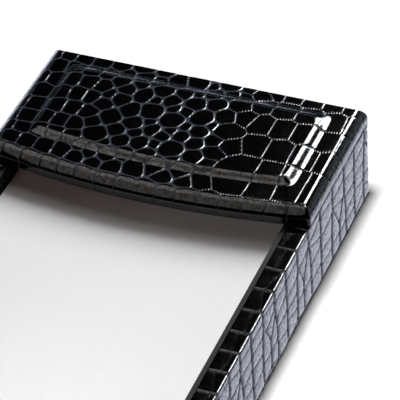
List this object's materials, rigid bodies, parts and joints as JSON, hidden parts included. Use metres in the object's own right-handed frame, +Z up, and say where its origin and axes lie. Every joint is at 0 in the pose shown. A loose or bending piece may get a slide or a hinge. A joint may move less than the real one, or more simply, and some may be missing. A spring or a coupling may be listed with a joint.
{
  "type": "memo holder",
  "caption": "Desk tray of embossed black leather over boards, with a dished front wall, a padded lid fixed over its back third, and loose memo sheets that slide out from under it.",
  "frame": {"origin": "below the middle of the tray, on the surface that the felt stands on", "axes": "+X to the right of a person at the open front, +Y to the back under the lid, +Z up"},
  "size_m": [0.122, 0.174, 0.0393],
  "materials": {
    "embossed_leather": "gloss",
    "fibreboard": "matte",
    "liner": "matte",
    "lid_lining": "matte",
    "felt": "matte",
    "foam": "matte",
    "card": "matte",
    "tongue": "matte",
    "paper": "matte"
  },
  "bodies": {
    "holder": {"floor_board": "fibreboard", "left_wall_board": "fibreboard", "right_wall_board": "fibreboard", "front_wall_board": "fibreboard", "back_wall_board": "fibreboard", "lid_board": "fibreboard", "left_wall_leather": "embossed_leather", "right_wall_leather": "embossed_leather", "front_wall_leather": "embossed_leather", "back_wall_leather": "embossed_leather", "lid_leather": "embossed_leather", "floor_liner": "liner", "left_liner": "liner", "right_liner": "liner", "front_liner": "liner", "back_liner": "liner", "lid_lining": "lid_lining", "base_felt": "felt", "lid_pad": "foam", "lid_panel": "card", "corner_tongues": "tongue", "lid_tongues": "tongue", "memo_stack": "paper"},
    "sheet": {"top_sheet": "paper"}
  },
  "joints": [
    {"name": "top_sheet_slide", "type": "slide", "parent": "holder", "child": "sheet", "axis": [0, -1, 0], "range_m": [0, 0.14]}
  ]
}
